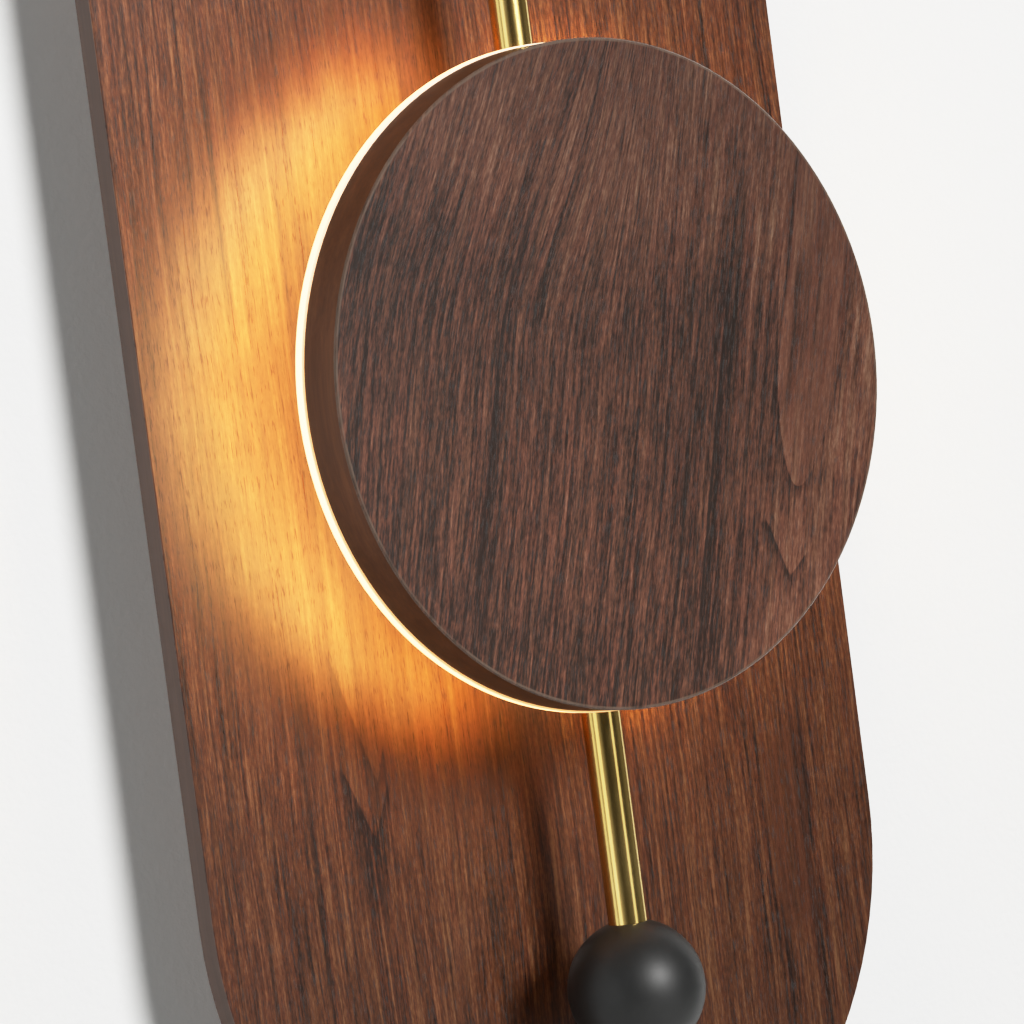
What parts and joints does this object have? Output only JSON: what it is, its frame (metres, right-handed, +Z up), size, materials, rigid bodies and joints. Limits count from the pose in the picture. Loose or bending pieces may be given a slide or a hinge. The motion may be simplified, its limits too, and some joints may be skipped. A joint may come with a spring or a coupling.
{
  "type": "wall lamp",
  "caption": "Wall lamp with an upright board with round ends, a rod with a ball at each end, and a round head that turns by hand and glows back on to the board.",
  "frame": {"origin": "on the wall plane, at the middle of the wall bracket's two slots and of its cable entry, straight behind the centre of the round head", "axes": "+Z up along the board, +Y into the wall (the lamp stands out along -Y), +X to the right as seen from the room"},
  "size_m": [0.251, 0.1012, 0.5452],
  "materials": {
    "walnut_board": "satin lacquered veneer",
    "walnut_edge": "satin lacquered edge band",
    "walnut_head": "satin lacquered veneer",
    "walnut_rim": "satin lacquered edge band",
    "plywood": "raw",
    "fibreboard": "raw",
    "satin_brass": "fine turned, satin",
    "black_paint": "satin powder coat",
    "box_paint": "matt powder coat",
    "zinc": "zinc plated",
    "aluminium": "bare sheet",
    "opal": "opal, lit from behind",
    "solder_mask": "white",
    "phosphor": "yellow",
    "white_plastic": "moulded",
    "nylon": "moulded",
    "black_plastic": "moulded",
    "lead_blue_brown": "smooth",
    "lead_green": "smooth",
    "lead_white": "smooth"
  },
  "bodies": {
    "base": {"wall_bracket": "zinc", "rear_box": "box_paint", "rear_box_ends": "box_paint", "box_side_screws": "zinc", "board_screws": "zinc", "led_driver": "white_plastic", "driver_screws": "zinc", "terminal_block": "nylon", "terminal_clamps": "satin_brass", "terminal_clamp_screws": "zinc", "terminal_screws": "zinc", "earth_tag": "zinc", "earth_screw": "satin_brass", "mains_leads": "lead_blue_brown", "earth_lead": "lead_green", "led_cable": "lead_white", "board_core": "plywood", "board_back_veneer": "walnut_edge", "board_face_veneer": "walnut_board", "board_edge_band": "walnut_edge", "stem_nipple": "zinc", "stem_back_washer": "zinc", "stem_back_nut": "zinc", "cable_bush": "black_plastic", "stem_front_washer": "satin_brass", "stem_spacer": "satin_brass", "rod_hub": "satin_brass", "stop_pin": "zinc", "upper_rod": "satin_brass", "upper_ball": "black_paint", "lower_rod": "satin_brass", "lower_ball": "black_paint", "hub_studs": "zinc", "ball_studs": "zinc", "thrust_washer": "nylon", "friction_washer": "zinc", "swivel_nut": "zinc"},
    "head": {"swivel_boss": "aluminium", "swivel_bush": "nylon", "boss_screws": "zinc", "heat_plate": "aluminium", "plate_screws": "zinc", "led_board": "solder_mask", "led_chips": "phosphor", "led_board_screws": "zinc", "led_connector": "white_plastic", "led_cores": "lead_white", "diffuser": "opal", "diffuser_screws": "zinc", "head_core": "fibreboard", "head_rim_band": "walnut_rim", "head_face_veneer": "walnut_head"}
  },
  "joints": [
    {"name": "head_turn", "type": "hinge", "parent": "base", "child": "head", "pos_m": [0, -0.0857, 0], "axis": [0, -1, 0], "range_deg": [-163, 163]}
  ]
}
